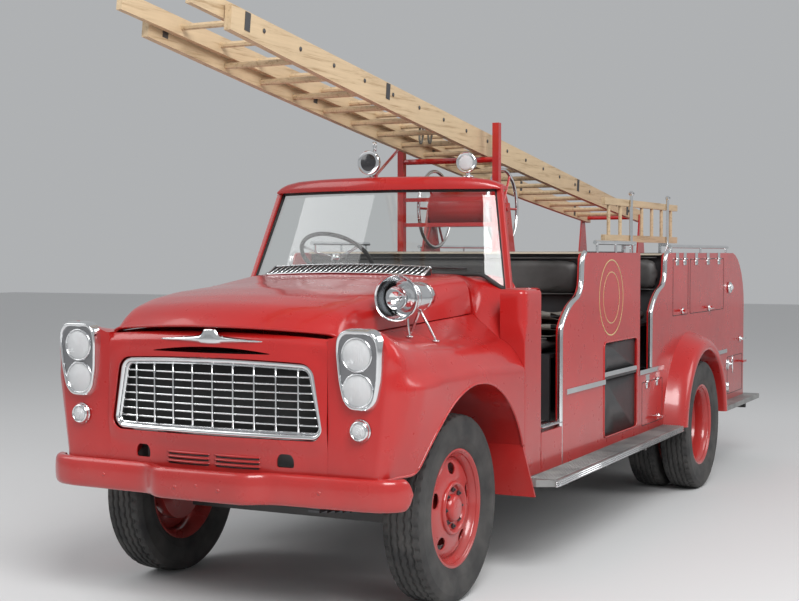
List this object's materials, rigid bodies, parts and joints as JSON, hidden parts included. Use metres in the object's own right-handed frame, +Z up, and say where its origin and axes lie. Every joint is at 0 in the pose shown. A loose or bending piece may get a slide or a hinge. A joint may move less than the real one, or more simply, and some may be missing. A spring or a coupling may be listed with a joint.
{
  "type": "fire engine",
  "caption": "Open-bodied bonneted fire engine with a two-section wooden ladder over the cab, hose reel, lockers under flaps, running boards and twin rear wheels.",
  "frame": {"origin": "centre of the bounding box on the ground, under the tyres", "axes": "-Y toward the nose, +X toward the vehicle's left side, +Z up"},
  "size_m": [2.36, 6.99, 2.8755],
  "materials": {
    "red_paint": "gloss",
    "black_paint": "satin",
    "engine_grey": "rough",
    "chrome": "polished",
    "tread_plate": "patterned",
    "spring_steel": "worn",
    "timber": "varnished",
    "tyre": "matt",
    "clear_glass": "clear",
    "lamp_glass": "ribbed",
    "seat_leather": "padded"
  },
  "bodies": {
    "chassis": {"chassis_frame": "black_paint", "front_axle": "black_paint", "rear_axle": "black_paint", "leaf_springs": "spring_steel", "propeller_shaft": "black_paint", "engine_block": "engine_grey", "radiator": "engine_grey", "front_bumper": "red_paint", "nose_panel": "red_paint", "grille": "chrome", "front_wings": "red_paint", "lamp_bezels": "chrome", "lamp_lenses": "lamp_glass", "scuttle": "red_paint", "windscreen_frame": "red_paint", "windscreen_glass": "clear_glass", "steering_column": "black_paint", "body_floor": "tread_plate", "bulkheads": "red_paint", "seats": "seat_leather", "body_sides": "red_paint", "lockers": "tread_plate", "water_tank": "red_paint", "body_deck": "red_paint", "rear_arches": "red_paint", "running_boards": "tread_plate", "body_fittings": "chrome", "ladder_supports": "red_paint", "side_ladder": "timber", "ladder_uprights": "chrome", "siren": "chrome", "roof_lamps": "chrome"},
    "steering_knuckle_left": {"knuckle_left": "black_paint"},
    "steering_knuckle_right": {"knuckle_right": "black_paint"},
    "road_wheel_front_left": {"wheel_front_left": "red_paint", "tyre_front_left": "tyre"},
    "road_wheel_front_right": {"wheel_front_right": "red_paint", "tyre_front_right": "tyre"},
    "road_wheels_rear_left": {"wheel_rear_left": "red_paint", "tyre_rear_left": "tyre"},
    "road_wheels_rear_right": {"wheel_rear_right": "red_paint", "tyre_rear_right": "tyre"},
    "steering_handwheel": {"steering_wheel": "black_paint"},
    "bonnet_panel": {"bonnet": "red_paint"},
    "ladder_lower_section": {"ladder_bed": "timber"},
    "ladder_upper_section": {"ladder_fly": "timber"},
    "reel": {"hose_reel": "red_paint"},
    "flap_narrow_left_lid": {"flap_narrow_left": "red_paint"},
    "flap_narrow_right_lid": {"flap_narrow_right": "red_paint"},
    "flap_wide_left_lid": {"flap_wide_left": "red_paint"},
    "flap_wide_right_lid": {"flap_wide_right": "red_paint"},
    "flap_low_left_lid": {"flap_low_left": "red_paint"},
    "flap_low_right_lid": {"flap_low_right": "red_paint"},
    "door_small_left_leaf": {"door_small_left": "red_paint"},
    "door_small_right_leaf": {"door_small_right": "red_paint"}
  },
  "joints": [
    {"name": "steer_left", "type": "hinge", "parent": "chassis", "child": "steering_knuckle_left", "pos_m": [0.7, -2.245, 0.465], "axis": [0, 0, 1], "range_deg": [-30, 30]},
    {"name": "roll_front_left", "type": "hinge", "parent": "steering_knuckle_left", "child": "road_wheel_front_left", "pos_m": [0.805, -2.245, 0.465], "axis": [1, 0, 0], "continuous": true},
    {"name": "roll_rear_left", "type": "hinge", "parent": "chassis", "child": "road_wheels_rear_left", "pos_m": [0.887, 1.655, 0.465], "axis": [1, 0, 0], "continuous": true},
    {"name": "steer_right", "type": "hinge", "parent": "chassis", "child": "steering_knuckle_right", "pos_m": [-0.7, -2.245, 0.465], "axis": [0, 0, 1], "range_deg": [-30, 30]},
    {"name": "roll_front_right", "type": "hinge", "parent": "steering_knuckle_right", "child": "road_wheel_front_right", "pos_m": [-0.805, -2.245, 0.465], "axis": [1, 0, 0], "continuous": true},
    {"name": "roll_rear_right", "type": "hinge", "parent": "chassis", "child": "road_wheels_rear_right", "pos_m": [-0.887, 1.655, 0.465], "axis": [1, 0, 0], "continuous": true},
    {"name": "open_flap_narrow_left", "type": "hinge", "parent": "chassis", "child": "flap_narrow_left_lid", "pos_m": [1.01, 1.2, 1.68], "axis": [0, -1, 0], "range_deg": [0, 95]},
    {"name": "open_flap_narrow_right", "type": "hinge", "parent": "chassis", "child": "flap_narrow_right_lid", "pos_m": [-1.01, 1.2, 1.68], "axis": [0, 1, 0], "range_deg": [0, 95]},
    {"name": "open_flap_wide_left", "type": "hinge", "parent": "chassis", "child": "flap_wide_left_lid", "pos_m": [1.01, 1.66, 1.68], "axis": [0, -1, 0], "range_deg": [0, 95]},
    {"name": "open_flap_wide_right", "type": "hinge", "parent": "chassis", "child": "flap_wide_right_lid", "pos_m": [-1.01, 1.66, 1.68], "axis": [0, 1, 0], "range_deg": [0, 95]},
    {"name": "open_flap_low_left", "type": "hinge", "parent": "chassis", "child": "flap_low_left_lid", "pos_m": [1.01, 0.467, 0.865], "axis": [0, -1, 0], "range_deg": [0, 95]},
    {"name": "open_flap_low_right", "type": "hinge", "parent": "chassis", "child": "flap_low_right_lid", "pos_m": [-1.01, 0.467, 0.865], "axis": [0, 1, 0], "range_deg": [0, 95]},
    {"name": "open_door_small_left", "type": "hinge", "parent": "chassis", "child": "door_small_left_leaf", "pos_m": [1.01, 2.825, 0.7], "axis": [0, 0, -1], "range_deg": [0, 100]},
    {"name": "open_door_small_right", "type": "hinge", "parent": "chassis", "child": "door_small_right_leaf", "pos_m": [-1.01, 2.825, 0.7], "axis": [0, 0, 1], "range_deg": [0, 100]},
    {"name": "turn_steering_wheel", "type": "hinge", "parent": "chassis", "child": "steering_handwheel", "pos_m": [-0.44, -1.075, 1.69], "axis": [0, 0.6428, 0.766], "range_deg": [-540, 540]},
    {"name": "open_bonnet", "type": "hinge", "parent": "chassis", "child": "bonnet_panel", "pos_m": [0, -1.645, 1.603], "axis": [-1, 0, 0], "range_deg": [0, 50]},
    {"name": "raise_ladder", "type": "hinge", "parent": "chassis", "child": "ladder_lower_section", "pos_m": [0, 2.885, 2.02], "axis": [-1, 0, 0], "range_deg": [0, 60]},
    {"name": "extend_ladder", "type": "slide", "parent": "ladder_lower_section", "child": "ladder_upper_section", "axis": [0, -0.9928, 0.1201], "range_m": [0, 2.9]},
    {"name": "spin_reel", "type": "hinge", "parent": "chassis", "child": "reel", "pos_m": [0, -0.105, 2.01], "axis": [1, 0, 0], "continuous": true}
  ],
  "couplings": [
    {"joint": "steer_right", "follows": "steer_left", "ratio": 1},
    {"joint": "turn_steering_wheel", "follows": "steer_left", "ratio": 18}
  ]
}
